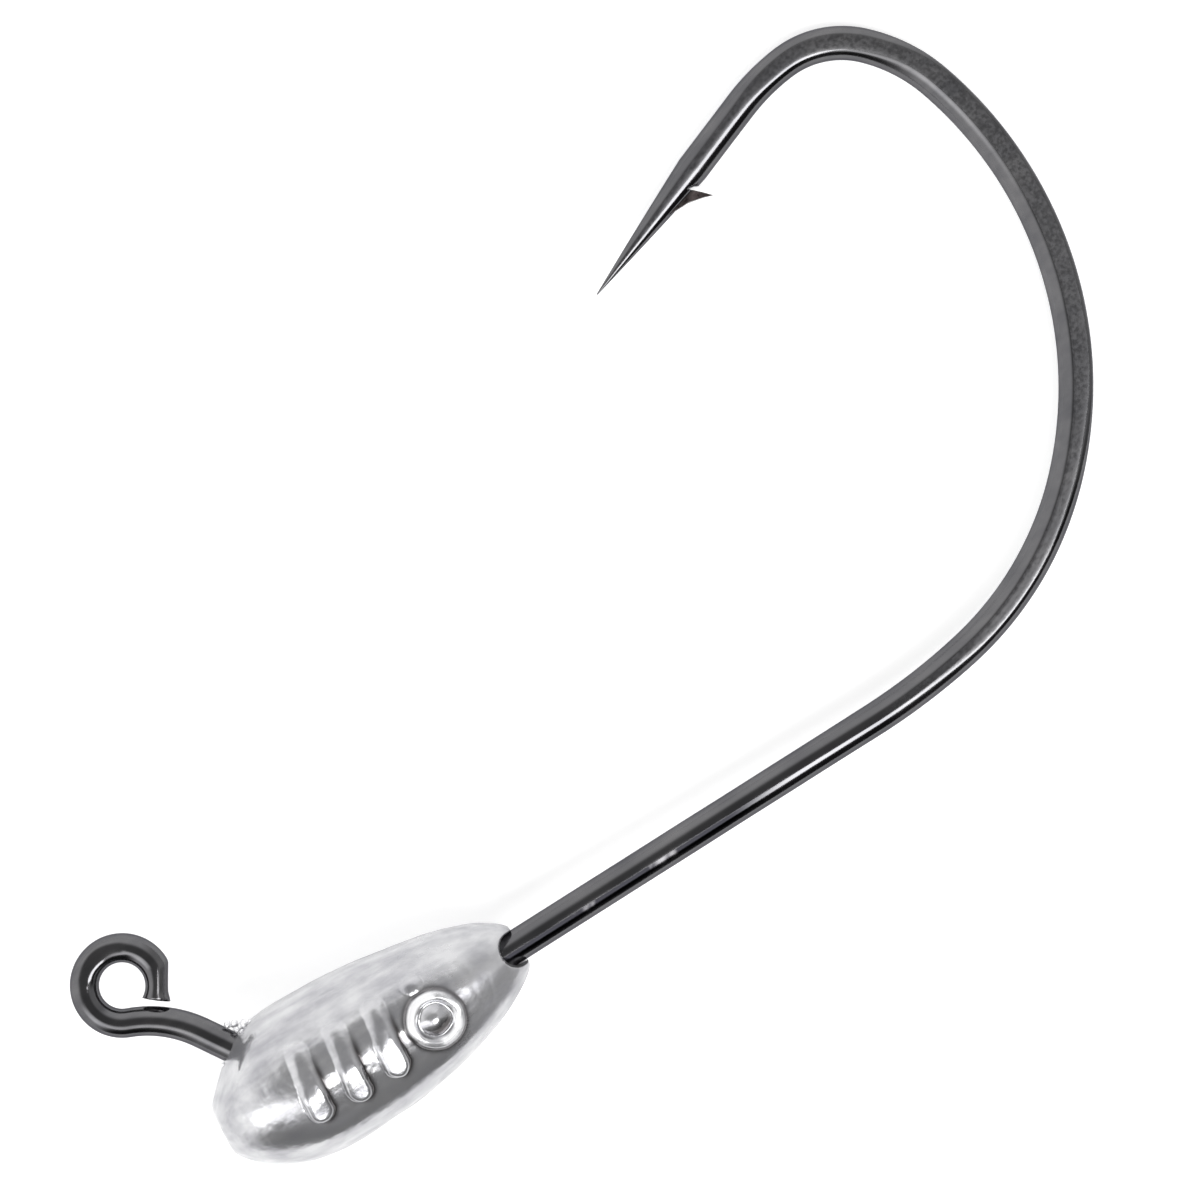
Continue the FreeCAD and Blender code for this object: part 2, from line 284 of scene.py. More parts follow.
# Directions of light, in degrees in the row frame: heading from +X, and down from straight up.
KEY_HEADING = -78.0
KEY_FROM_ABOVE = 33.0
KEY_HALF_WIDTH = 16.5
KEY_HALF_HEIGHT = 12.5
KEY_DISTANCE = 0.5            # metres
KEY_RADIANCE = 8.0
OVERHEAD = 0.27               # brightness straight above
RIGHT_SKY = 0.75
LEFT_SKY = 0.95
LEFT_HEADING = 118.0
GLOW = 2.1                    # beside the key light
GLOW_HEADING = -148.0
DARK = 0.06
DARK_HEADING = -92.0
# Edges in the sky: the angle from a heading or from straight up where a part ends, and how far it fades.
RIGHT_BELOW = (24, 20)
LEFT_WIDE = (80, 22)
LEFT_BELOW = (13, 42)
GLOW_WIDE = (14, 24)
GLOW_BELOW = (18, 14)
GLOW_ABOVE = (48, 22)
DARK_WIDE = (42, 24)
DARK_BELOW = (44, 8)


def smooth_step(value, low, high):
    """0 below low, 1 above high and a smooth rise between them."""
    t = np.clip((value - low) / (high - low), 0.0, 1.0)
    return t * t * (3 - 2 * t)


def noise_at(points, scale, seed):
    """Smooth noise, about -1 to 1, at each point. scale is in waves per mm."""
    shift = Vector((17.3 * seed, -9.1 * seed, 5.7 * seed))
    return np.array([noise.noise(Vector(p) * scale + shift) for p in points])


def noise_height(points, height, scale, seed):
    """Smooth noise, about -height to height, at each point."""
    return height * noise_at(points, scale, seed)


def grid_faces(rows, columns):
    """Quads of a grid whose rows close round on themselves."""
    faces = []
    for i in range(rows - 1):
        for j in range(columns):
            k = (j + 1) % columns
            faces.append((i * columns + j, i * columns + k, (i + 1) * columns + k, (i + 1) * columns + j))
    return faces


def tube_faces(rows, sides):
    """Faces of a tube that is closed at both ends."""
    faces = grid_faces(rows, sides)
    faces.append(tuple(range(sides - 1, -1, -1)))
    last = (rows - 1) * sides
    faces.append(tuple(last + j for j in range(sides)))
    return faces


def new_object(name, vertices, faces, smooth=True):
    """A mesh object from millimetres, with its faces turned outwards."""
    mesh = bpy.data.meshes.new(name)
    mesh.from_pydata([tuple(v * MM) for v in vertices], [], faces)
    shell = bmesh.new()
    shell.from_mesh(mesh)
    bmesh.ops.recalc_face_normals(shell, faces=shell.faces)
    shell.to_mesh(mesh)
    shell.free()
    for polygon in mesh.polygons:
        polygon.use_smooth = smooth
    thing = bpy.data.objects.new(name, mesh)
    bpy.context.scene.collection.objects.link(thing)
    return thing


def apply_boolean(thing, tool, operation):
    """Joins or cuts thing with tool, and removes tool."""
    modifier = thing.modifiers.new("cut", "BOOLEAN")
    modifier.object = tool
    modifier.operation = operation
    modifier.solver = "EXACT"
    bpy.context.view_layer.objects.active = thing
    bpy.ops.object.modifier_apply(modifier=modifier.name)
    bpy.data.objects.remove(tool)


def use_second_material(thing):
    """Gives all faces the second material of the piece that they join."""
    for polygon in thing.data.polygons:
        polygon.material_index = 1


# ---- the hook -------------------------------------------------------------------------


def wire_runs():
    """The wire as (name, bend radius or None, degrees turned or length) from the cut end to the tip."""
    ring_turn = EYE_LEAVES_ANGLE - EYE_CUT_ANGLE
    neck_turn = LEG_ANGLE + EYE_LEAVES_ANGLE - 270
    leave = math.radians(EYE_LEAVES_ANGLE)
    after_ring = math.radians(EYE_LEAVES_ANGLE - 270)
    leg = math.radians(LEG_ANGLE)
    neck_drop = LEG_NECK_RADIUS * (math.cos(after_ring) - math.cos(leg))
    knee_drop = KNEE_RADIUS * (1 - math.cos(leg))
    leg_drop = EYE_TO_SHANK_LINE + EYE_RADIUS * math.sin(leave) - neck_drop - knee_drop
    runs = [
        ("ring", EYE_RADIUS, ring_turn),
        ("neck", LEG_NECK_RADIUS, -neck_turn),
        ("leg", None, leg_drop / math.sin(leg)),
        ("knee", KNEE_RADIUS, LEG_ANGLE),
        ("shank", None, SHANK_LENGTH),
    ]
    runs += [(f"bend{i}", radius, turn) for i, (radius, turn) in enumerate(BEND)]
    return runs + [("point_leg", None, POINT_LEG_LENGTH), ("needle", None, NEEDLE_LENGTH)]


def wire_line():
    """Rows of x, y, heading and distance along the centre line, and the distance where each run ends."""
    start = math.radians(EYE_CUT_ANGLE)
    x, y = EYE_RADIUS * math.cos(start), EYE_RADIUS * math.sin(start)
    heading, travelled = start + math.pi / 2, 0.0
    rows, ends = [(x, y, heading, 0.0)], {}
    for name, radius, amount in wire_runs():
        length = amount if radius is None else radius * math.radians(abs(amount))
        count = max(2, math.ceil(length / WIRE_STEP))
        for i in range(1, count + 1):
            part = i / count
            if radius is None:
                rows.append((x + math.cos(heading) * length * part, y + math.sin(heading) * length * part,
                             heading, travelled + length * part))
                continue
            side = math.copysign(1.0, amount)
            turned = heading + math.radians(amount) * part
            rows.append((x + side * radius * (math.sin(turned) - math.sin(heading)),
                         y - side * radius * (math.cos(turned) - math.cos(heading)),
                         turned, travelled + length * part))
        x, y, heading, travelled = rows[-1]
        ends[name] = travelled
    return np.array(rows), ends


def wire_section(line, ends):
    """The wire's section at each point of the line.

    It gives half width, half thickness, the flats' height, how far forging has sloped its inside and
    squared its outside, 0 to 1, and its shift inwards.
    """
    along = line[:, 3]

    def risen(first, past_first, last, past_last):
        """0 to 1 over a stretch of the wire."""
        return smooth_step(along, ends[first] + past_first, ends[last] + past_last)

    half, before = np.full(len(line), EYE_HALF), EYE_HALF
    for stretch, after in WIDTH_CHANGES:
        half += (after - before) * risen(*stretch)
        before = after
    wobble = np.array([noise.noise(Vector((a * WOBBLE_WAVES, WOBBLE_PLACE, 0.0))) for a in along])
    half *= 1 + WOBBLE_SHARE * wobble

    to_tip = ends["needle"] - along
    taper = np.clip(to_tip / NEEDLE_LENGTH, 0, 1)
    ogive = taper * (1 + NEEDLE_FULLNESS * (1 - taper))
    tapered = NEEDLE_TIP_HALF + (half - NEEDLE_TIP_HALF) * np.minimum(ogive, 1)
    half = np.where(to_tip < NEEDLE_LENGTH, tapered, half)

    thick = half.copy()
    pressed = risen(*FORGING_BEGINS) * (1 - risen(*FORGING_ENDS))
    free = half * NO_FLAT
    flat = free + (FORGED_HALF_THICKNESS - free) * pressed
    at, reach = WINDING_MARK
    at_ends, at_middle = WINDING_FLAT
    wound = 1 - smooth_step(np.abs(along - at), 0.0, reach)
    flat = np.where(wound > 0, half * (at_ends + (at_middle - at_ends) * wound), flat)
    fades = 1 - risen(*SHAPING_ENDS)
    squared = risen(*SQUARING_BEGINS)

    # the cut end was pressed closed, which flattened the outside of the eye beside it
    angle = np.degrees(along / EYE_RADIUS) + EYE_CUT_ANGLE
    outer = EYE_RADIUS + half
    from_pinch = np.clip(angle - EYE_PINCH_ANGLE, *EYE_PINCH_REACH)
    pinched = EYE_PINCH_DISTANCE / np.cos(np.radians(from_pinch))
    outer_now = np.where(along < ends["ring"], np.minimum(outer, pinched), outer)
    burr = BURR_HEIGHT * (1 - smooth_step(along, 0.0, BURR_LENGTH))
    shift = (outer - outer_now) / 2
    narrow = half - shift + burr / 2
    inwards = np.where(along < ends["ring"], shift - burr / 2, 0.0)
    return narrow, thick, flat, pressed * fades, squared * fades, inwards


def sweep_wire():
    """Vertices and faces of the wire without its barb, and the last row of its line."""
    line, ends = wire_line()
    half, thick, flat, sloping, squared, inwards = wire_section(line, ends)
    angles = np.arange(WIRE_SIDES) * 2 * math.pi / WIRE_SIDES
    across = half[:, None] * np.cos(angles)[None, :]
    up = thick[:, None] * np.sin(angles)[None, :]
    limit = np.broadcast_to(flat[:, None], up.shape)
    height = np.maximum(np.abs(up), 1e-6)
    squeezed = (height ** -FLAT_SHARPNESS + limit ** -FLAT_SHARPNESS) ** (-1 / FLAT_SHARPNESS)
    up = np.sign(up) * np.minimum(squeezed, np.abs(up))
    # the dies left a flat face that slopes off to the inside of the bend and ends square outside
    place = np.cos(angles)[None, :]
    inner = np.clip((place - FORGED_INNER_EDGE) / (1 - FORGED_INNER_EDGE), 0, 1)
    sloped = (1 - inner ** FORGED_INNER_SHAPE) ** (1 / FORGED_INNER_SHAPE)
    square = (1 - np.clip(-place, 0, 1) ** FORGED_OUTER_SHAPE) ** (1 / FORGED_OUTER_SHAPE)
    forged = FORGED_HALF_THICKNESS * np.sign(np.sin(angles))[None, :]
    up = np.where(place > 0, up + (forged * sloped - up) * sloping[:, None], up)
    up = np.where(place <= 0, up + (forged * square - up) * squared[:, None], up)
    # the eye turns to the left, so a positive sideways place is towards its centre
    side = across + inwards[:, None]
    slant = math.tan(math.radians(CUT_END_SLANT)) * (1 - smooth_step(line[:, 3:4], 0.0, CUT_END_LENGTH))
    back = slant * side
    x = line[:, 0:1] - np.sin(line[:, 2:3]) * side - np.cos(line[:, 2:3]) * back
    y = line[:, 1:2] + np.cos(line[:, 2:3]) * side - np.sin(line[:, 2:3]) * back
    vertices = np.stack([x, y, up], axis=2).reshape(-1, 3)
    return vertices, tube_faces(len(line), WIRE_SIDES), line[-1]


def from_tip(tip, back, out):
    """The place this far back from the needle's tip, and this far out from its centre line."""
    heading = tip[2]
    backwards = np.array([-math.cos(heading), -math.sin(heading)])
    outwards = np.array([-math.sin(heading), math.cos(heading)])
    return tip[:2] + backwards * back + outwards * out


def barb_edge(points, shares):
    """Places on an edge of the barb, at shares of the way from its root to its tip."""
    back, out = np.array(points).T
    return np.array([np.interp(shares, BARB_EDGE_AT, back), np.interp(shares, BARB_EDGE_AT, out)]).T


def barb_mesh(tip):
    """The lifted sliver, lofted between its front and its back edge."""
    shares = np.linspace(0, 1, BARB_STEPS)
    front, back = barb_edge(BARB_FRONT, shares), barb_edge(BARB_BACK, shares)
    thickness = np.interp(shares, BARB_THICKNESS_AT, BARB_HALF_THICKNESS)
    vertices = []
    for f, b, t in zip(front, back, thickness):
        for place, z in ((f, t), (b, t), (b, -t), (f, -t)):
            vertices.append((*from_tip(tip, *place), z))
    return np.array(vertices), tube_faces(BARB_STEPS, BARB_SIDES)


def slit_mesh(tip):
    """The thin wedge of air behind the barb, where it was cut free of the wire."""
    vertices = []
    for z in (-SLIT_HALF_DEPTH, SLIT_HALF_DEPTH):
        for back, out in SLIT:
            vertices.append((*from_tip(tip, back, out), z))
    faces = [(0, 1, 2, 3), (7, 6, 5, 4)]
    faces += [(i, i + 4, (i + 1) % 4 + 4, (i + 1) % 4) for i in range(4)]
    return np.array(vertices), faces


def make_hook():
    """The wire with the barb cut from it and lifted, as one closed mesh."""
    vertices, faces, tip = sweep_wire()
    hook = new_object("forged_hook", vertices, faces)
    hook.data.materials.append(black_nickel())
    hook.data.materials.append(cut_steel())
    apply_boolean(hook, new_object("slit", *slit_mesh(tip)), "DIFFERENCE")
    barb = new_object("barb", *barb_mesh(tip), smooth=False)
    use_second_material(barb)
    apply_boolean(hook, barb, "UNION")
    return hook


# ---- the casting ----------------------------------------------------------------------


def head_to_row(points):
    """From the casting's own axes to the row frame."""
    tilt = math.radians(HEAD_TILT)
    x = HEAD_CENTRE[0] + points[:, 0] * math.cos(tilt) - points[:, 1] * math.sin(tilt)
    y = HEAD_CENTRE[1] + points[:, 0] * math.sin(tilt) + points[:, 1] * math.cos(tilt)
    return np.stack([x, y, points[:, 2]], axis=1)


def head_surface():
    """The casting's smooth skin: a grid of places from the nose to the tail, in its own axes."""
    nose = np.linspace(0, math.pi / 2, HEAD_ROWS[0])
    tail = np.linspace(math.pi / 2, math.pi, HEAD_ROWS[1])[1:]
    turn = np.concatenate([nose, tail])
    length = np.where(turn < math.pi / 2, NOSE_ELLIPSE, TAIL_ELLIPSE)
    along = WIDEST_AT - length * np.cos(turn)
    half = HEAD_HALF_WIDTH * np.sin(turn)
    upper = np.linspace(0, math.pi, HEAD_SIDES[0], endpoint=False)
    lower = np.linspace(math.pi, 2 * math.pi, HEAD_SIDES[1], endpoint=False)
    around = np.concatenate([upper, lower])
    bow = BOW_AT_NOSE + BOW_CHANGE * smooth_step(along, *BOW_OVER)
    s = np.repeat(along[:, None], len(around), axis=1)
    # the section is round, with a flat on the -Y side of either face that fades out at the nose
    facing = math.radians(SIDE_FACET[0])
    towards = np.abs(np.sin(around)) * math.cos(facing) - np.cos(around) * math.sin(facing)
    farther, over = SIDE_FACET_FADE
    distance = SIDE_FACET[1] + farther * (1 - smooth_step(along, SIDE_FACET_FROM, SIDE_FACET_FROM + over))
    towards = np.maximum(towards, 0)[None, :] / distance[:, None]
    reach = (1 + towards ** (2 * SIDE_FACET_SHARPNESS)) ** (-0.5 / SIDE_FACET_SHARPNESS)
    b = half[:, None] * np.cos(around)[None, :] * reach + bow[:, None]
    z = half[:, None] * np.sin(around)[None, :] * reach * HEAD_FLATNESS
    return np.stack([s, b, z], axis=2)


def grid_normals(grid):
    """Outward normals of a closed grid whose ends are single points."""
    down = np.gradient(grid, axis=0)
    wrapped = np.concatenate([grid[:, -1:], grid, grid[:, :1]], axis=1)
    round_it = (wrapped[:, 2:] - wrapped[:, :-2]) / 2
    normal = np.cross(round_it, down)
    size = np.linalg.norm(normal, axis=2, keepdims=True)
    normal = normal / np.maximum(size, 1e-9)
    normal[0] = (-1, 0, 0)
    normal[-1] = (1, 0, 0)
    outward = grid - grid.mean(axis=(0, 1))
    if (normal * outward).sum() < 0:
        normal = -normal
    return normal


def rib_places(s, b, at, bottom):
    """Places by one rib, given by where it crosses the axis and where its lower end is.

    It gives the share of the way down it, the distance from its middle line, its half width there,
    and the distance from its middle in half widths, which is 1 at its edge.
    """
    slant = math.hypot(1.0, RIB_LEAN)
    ahead = s - at - RIB_LEAN * RIB_TOP
    down = (RIB_TOP - b - ahead * RIB_LEAN) / slant
    aside = (ahead + (RIB_TOP - b) * RIB_LEAN) / slant
    length = (RIB_TOP - bottom) * slant
    part = np.clip(down / RIB_LENGTH, 0, 1)
    half = RIB_HALF_WIDTHS[0] + (RIB_HALF_WIDTHS[1] - RIB_HALF_WIDTHS[0]) * part
    beyond = np.maximum(np.maximum(half - down, down - (length - half)), 0)
    return part, aside, half, np.hypot(aside, beyond) / half


def rib_height(s, b, at, bottom):
    """A rib's height in mm: a rounded bar that grows wider and higher towards its lower end."""
    part, _, _, edge = rib_places(s, b, at, bottom)
    height = RIB_HEIGHTS[0] + (RIB_HEIGHTS[1] - RIB_HEIGHTS[0]) * part ** RIB_RISE
    shape = RIB_SHAPES[0] + (RIB_SHAPES[1] - RIB_SHAPES[0]) * smooth_step(part, *RIB_SHAPE_OVER)
    return height * (1 - np.clip(edge, 0, 1) ** shape)


def relief_height(s, b):
    """Height of the raised ribs, ring and dome at places on the +Z face."""
    height = np.zeros_like(s)
    for at, bottom in RIBS:
        height = np.maximum(height, rib_height(s, b, at, bottom))
    r = np.hypot(s - RING_CENTRE[0], b - RING_CENTRE[1])
    from_middle = np.abs(r - RING_MIDDLE_RADIUS)
    ring = RING_HEIGHT * (1 - smooth_step(from_middle, RING_TOP, RING_HALF_WIDTH + RING_FOOT))
    dome = np.clip(1 - (r / DOME_RADIUS) ** 2, 0, 1)
    away = smooth_step(r, RING_MIDDLE_RADIUS, RING_MIDDLE_RADIUS + RING_CLEARANCE)
    return np.maximum(height * away, DOME_HEIGHT * np.maximum(ring, dome))


def dark_line(from_foot):
    """1 in the middle of the line of painted shade outside a mark, fading to 0 on either side."""
    return np.exp(-((from_foot - CREASE_SHADE_AWAY) / CREASE_SHADE_WIDTH) ** 2)


def painted_crease_shade(s, b):
    """0 to 1 where shade is painted: outside each mark, on a rib's tail side, and in the ring by the dome."""
    dark = np.zeros_like(s)
    for at, bottom in RIBS:
        part, aside, half, edge = rib_places(s, b, at, bottom)
        on_tail_side = smooth_step(aside, *CREASE_SHADE_BEYOND_MIDDLE)
        beside = dark_line((edge - 1) * half) * on_tail_side * smooth_step(part, *CREASE_SHADE_DOWN_RIB)
        dark = np.maximum(dark, beside)
    ahead, aside = s - RING_CENTRE[0], b - RING_CENTRE[1]
    r = np.hypot(ahead, aside)
    foot = RING_MIDDLE_RADIUS + RING_HALF_WIDTH
    clear_of_ring = smooth_step(r, foot, foot + CREASE_SHADE_CLEAR_OF_RING)
    outside = CREASE_SHADE_ROUND_RING * dark_line(r - foot)
    lower = smooth_step(CREASE_SHADE_IN_RING[0] * ahead + CREASE_SHADE_IN_RING[1] * aside, *CREASE_SHADE_IN_RING_FROM)
    inside = 1 - smooth_step(r, DOME_RADIUS - CREASE_SHADE_BY_DOME[0], DOME_RADIUS + CREASE_SHADE_BY_DOME[1])
    return np.maximum(np.maximum(dark * clear_of_ring, outside), inside * lower)


def cast_skin(grid):
    """How far lumps, folds and streaks raise the casting's skin at each place."""
    places = grid.reshape(-1, 3)
    lumps = noise_height(places, *BROAD_LUMPS) + noise_height(places, *SMALL_LUMPS)
    depth, scale, seed = FOLDS
    crossing = np.abs(noise_at(places * np.array(FOLD_STRETCH), scale, seed))
    folds = depth * (1 - smooth_step(crossing, 0.0, FOLD_WIDTH)) + noise_height(places, *GRIT)
    streaks = noise_height(places * np.array(STREAK_STRETCH), *STREAKS)
    skin = (lumps + folds + streaks).reshape(grid.shape[:2])
    # the flank below the marks ran in cleanly, and so did the tail
    aside = -grid[..., 1]
    calm = smooth_step(aside, *CALM_FLANK_FROM) * (1 - smooth_step(aside, *CALM_FLANK_TO))
    calm = np.maximum(calm, CALM_TAIL_SHARE * smooth_step(grid[..., 0], *CALM_TAIL_FROM))
    return skin * (1 - CALM_SHARE * calm)


def flat_outwards(flat, slope=0.0):
    """A flat's outward direction in the casting's axes, leaning up by slope degrees."""
    heading, lean = math.radians(flat[0]), math.radians(slope)
    return np.array([math.cos(heading) * math.cos(lean), math.sin(heading) * math.cos(lean), math.sin(lean)])


def flat_point(flat):
    """A place on a flat, in the casting's axes."""
    return np.array([WIDEST_AT, 0.0, 0.0]) + flat_outwards(flat) * flat[1]


def press_flat(grid, flat, softness, slope=0.0):
    """Pushes what is beyond a flat back to it, with a rounded edge."""
    outward = flat_outwards(flat, slope)
    distance = (grid - flat_point(flat)) @ outward
    kept = -softness * np.logaddexp(0, -distance / softness)
    return grid + (kept - distance)[..., None] * outward


def cut_notch(grid):
    """Lowers the lead over the wire at the tail, in a notch with a rounded end."""
    row = head_to_row(grid.reshape(-1, 3)).reshape(grid.shape)
    past_end = (row[..., 0] - NOTCH_AT) / NOTCH_ROUND
    widening = np.sqrt(np.clip(1 - (1 - np.clip(past_end, 0, 1)) ** 2, 0, 1))
    inside = NOTCH_HALF_WIDTH * widening - np.abs(row[..., 1] + EYE_TO_SHANK_LINE + NOTCH_SHIFT)
    depth = smooth_step(inside, *NOTCH_EDGE) * (past_end > 0)
    lowered = grid.copy()
    lowered[..., 2] *= 1 - NOTCH_DEPTH * depth
    return lowered


def cast_head_grid():
    """The casting with its skin, marks, seam, flats and notch, and how much painted shade is at each place.
    """
    grid = head_surface()
    places, shape = grid.reshape(-1, 3), grid.shape[:2]
    normal = grid_normals(grid)
    skin = cast_skin(grid)

    marked = smooth_step(normal[..., 2], *MARKED_FACE)
    warp = noise_height(places, *MARKS_WARP).reshape(shape)
    fill = MARKS_FILL_MEAN + noise_height(places, *MARKS_FILL).reshape(shape)
    s, b = grid[..., 0] + warp, grid[..., 1] - warp
    skin += relief_height(s, b) * marked * fill
    # painted shade in the creases beside the marks
    dark = painted_crease_shade(s, b) * marked

    seam = np.exp(-((grid[..., 2] - SEAM_AT) / SEAM_WIDTH) ** 2)
    flash = FLASH_MEAN + noise_height(places, *FLASH).reshape(shape)
    skin += SEAM_HEIGHT * seam * np.clip(flash, *FLASH_RANGE)
    grid = grid + normal * skin[..., None]

    grid = press_flat(grid, NOSE_FLAT, NOSE_SOFTNESS, NOSE_SLOPE)
    for slope in (SHOULDER_SLOPE, -SHOULDER_SLOPE):
        grid = press_flat(grid, SHOULDER_FLAT, SHOULDER_SOFTNESS, slope)
    grid = press_flat(grid, TAIL_FLAT, TAIL_SOFTNESS)
    return cut_notch(grid), dark


def leg_entry():
    """Where the leg's centre line meets the shoulder, and the leg's direction there."""
    line, ends = wire_line()
    on_leg = line[(line[:, 3] > ends["neck"]) & (line[:, 3] < ends["leg"])]
    on_flat = head_to_row(flat_point(SHOULDER_FLAT)[None, :])[0]
    facing = math.radians(SHOULDER_FLAT[0] + HEAD_TILT)
    apart = on_leg[:, :2] - on_flat[:2]
    distance = apart[:, 0] * math.cos(facing) + apart[:, 1] * math.sin(facing)
    x, y, heading, _ = on_leg[np.argmin(np.abs(distance))]
    return np.array([x, y]), np.array([math.cos(heading), math.sin(heading)])


def crumb_mesh(place, radius, seed):
    """A small rough ball of lead."""
    shell = bmesh.new()
    bmesh.ops.create_icosphere(shell, subdivisions=2, radius=radius)
    shift = Vector((seed * CRUMB_SEED_STEP, 0, 0))
    for vertex in shell.verts:
        vertex.co *= 1 + CRUMB_ROUGHNESS * noise.noise(vertex.co * (CRUMB_WAVES / radius) + shift)
    vertices = np.array([v.co for v in shell.verts]) + place
    faces = [tuple(v.index for v in face.verts) for face in shell.faces]
    shell.free()
    return vertices, faces


def make_crumbs():
    """The crumbs of flash beside the leg, joined where they touch."""
    entry, along = leg_entry()
    across = np.array([-along[1], along[0]])
    cluster = None
    for seed, (ahead, aside, up, radius) in enumerate(CRUMBS):
        place = np.append(entry + along * ahead + across * aside, up)
        crumb = new_object("crumb", *crumb_mesh(place, radius, seed))
        use_second_material(crumb)
        if cluster is None:
            cluster = crumb
        else:
            apply_boolean(cluster, crumb, "UNION")
    return cluster


def close_ends(thing):
    """Merges the vertices that lie in one place at the nose and at the tail."""
    shell = bmesh.new()
    shell.from_mesh(thing.data)
    bmesh.ops.remove_doubles(shell, verts=shell.verts, dist=1e-7)
    shell.to_mesh(thing.data)
    shell.free()


def make_head():
    """The casting with its crumbs fused on, as one closed mesh that also holds its painted shade."""
    grid, dark = cast_head_grid()
    head = new_object("lead_casting", head_to_row(grid.reshape(-1, 3)), grid_faces(*grid.shape[:2]))
    head.data.attributes.new("painted_crease_shade", "FLOAT", "POINT").data.foreach_set("value", dark.ravel())
    head.data.materials.append(cast_lead())
    head.data.materials.append(lead_crumbs())
    close_ends(head)
    apply_boolean(head, make_crumbs(), "UNION")
    return head


# ---- material nodes -------------------------------------------------------------------


def new_material(name):
    """An empty node material's nodes, links and shader, and its texture coordinates in metres."""
    material = bpy.data.materials.new(name)
    material.use_nodes = True
    nodes, links = material.node_tree.nodes, material.node_tree.links
    return material, nodes, links, nodes["Principled BSDF"], nodes.new("ShaderNodeTexCoord")


def feed(links, socket, value):
    """Sets a socket to a number, or links another node's output to it."""
    if isinstance(value, (int, float)):
        socket.default_value = value
    else:
        links.new(value, socket)


def math_node(nodes, links, operation, *values):
    """The result of some maths on numbers or other nodes' outputs."""
    node = nodes.new("ShaderNodeMath")
    node.operation = operation
    for socket, value in zip(node.inputs, values):
        feed(links, socket, value)
    return node.outputs[0]


def chain(nodes, links, operation, *values):
    """All values added or multiplied together."""
    total = values[0]
    for value in values[1:]:
        total = math_node(nodes, links, operation, total, value)
    return total


def soft_range(nodes, links, value, over, results=(0.0, 1.0)):
    """value mapped smoothly from the range over to the range results."""
    node = nodes.new("ShaderNodeMapRange")
    node.interpolation_type = "SMOOTHSTEP"
    links.new(value, node.inputs["Value"])
    for name, number in zip(("From Min", "From Max", "To Min", "To Max"), (*over, *results)):
        node.inputs[name].default_value = number
    return node.outputs["Result"]


def metres(pair):
    """A range in mm as one in metres."""
    return pair[0] * MM, pair[1] * MM


def parts_of(nodes, links, vector):
    """A vector's X, Y and Z outputs."""
    split = nodes.new("ShaderNodeSeparateXYZ")
    links.new(vector, split.inputs[0])
    return split.outputs


def vector_node(nodes, links, operation, first, second=None):
    """The outputs of some maths on a node's output and, where given, a fixed vector."""
    node = nodes.new("ShaderNodeVectorMath")
    node.operation = operation
    links.new(first, node.inputs[0])
    if second is not None:
        node.inputs[1].default_value = second
    return node.outputs


def noise_node(nodes, links, vector, scale, detail, distortion=0.0):
    """A noise texture's value."""
    texture = nodes.new("ShaderNodeTexNoise")
    texture.inputs["Scale"].default_value = scale
    texture.inputs["Detail"].default_value = detail
    texture.inputs["Distortion"].default_value = distortion
    links.new(vector, texture.inputs["Vector"])
    return texture.outputs["Fac"]


def stretched(nodes, links, vector, scale, angle=0.0):
    """A vector turned by an angle about Z and then scaled, for streaks."""
    turned = nodes.new("ShaderNodeMapping")
    turned.inputs["Rotation"].default_value = (0, 0, math.radians(angle))
    turned.inputs["Scale"].default_value = scale
    links.new(vector, turned.inputs["Vector"])
    return turned.outputs["Vector"]


def evenly(nodes, links, first, second):
    """The mean of two noises."""
    half_of_second = math_node(nodes, links, "MULTIPLY", second, 0.5)
    return math_node(nodes, links, "MULTIPLY_ADD", first, 0.5, half_of_second)


def between_tones(nodes, links, value, tones):
    """A colour between two tones. Each is the value at which it is reached, and its colour."""
    ramp = nodes.new("ShaderNodeValToRGB")
    for element, (position, colour) in zip(ramp.color_ramp.elements, tones):
        element.position = position
        element.color = (*colour, 1)
    links.new(value, ramp.inputs["Fac"])
    return ramp.outputs["Color"]


def turned_to(nodes, links, share, colour, other):
    """A colour that turns into a fixed other one as share goes from 0 to 1."""
    mix = nodes.new("ShaderNodeMix")
    mix.data_type = "RGBA"
    links.new(share, mix.inputs["Factor"])
    links.new(colour, mix.inputs[6])
    mix.inputs[7].default_value = (*other, 1)
    return mix.outputs[2]


def bump_node(nodes, links, height, depth, strength):
    """A bump node. depth is in mm, and strength is a number or another node's output."""
    bump = nodes.new("ShaderNodeBump")
    bump.inputs["Distance"].default_value = depth * MM
    feed(links, bump.inputs["Strength"], strength)
    links.new(height, bump.inputs["Height"])
    return bump


# ---- materials ------------------------------------------------------------------------


def painted_shank_shade(nodes, links, x, faces_y, patches):
    """0 to 1 on the painted shade along the -Y side of the shank beside the casting, which darkens the wire
    where the key light's reflection falls.
    """
    near_head = soft_range(nodes, links, x, metres(SHANK_SHADE_FADES), (1.0, 0.0))
    past_head = soft_range(nodes, links, x, metres((NOTCH_AT - SHANK_SHADE_BEFORE_NOTCH, NOTCH_AT)))
    on_side = soft_range(nodes, links, faces_y, SHANK_SHADE_UPPER_EDGE, (1.0, 0.0))
    above_rim = soft_range(nodes, links, faces_y, SHANK_SHADE_LOWER_EDGE)
    shade_gapped = soft_range(nodes, links, patches, SHANK_SHADE_GAPS, (1.0, SHANK_SHADE_IN_GAPS))
    return chain(nodes, links, "MULTIPLY", near_head, past_head, on_side, above_rim, shade_gapped)


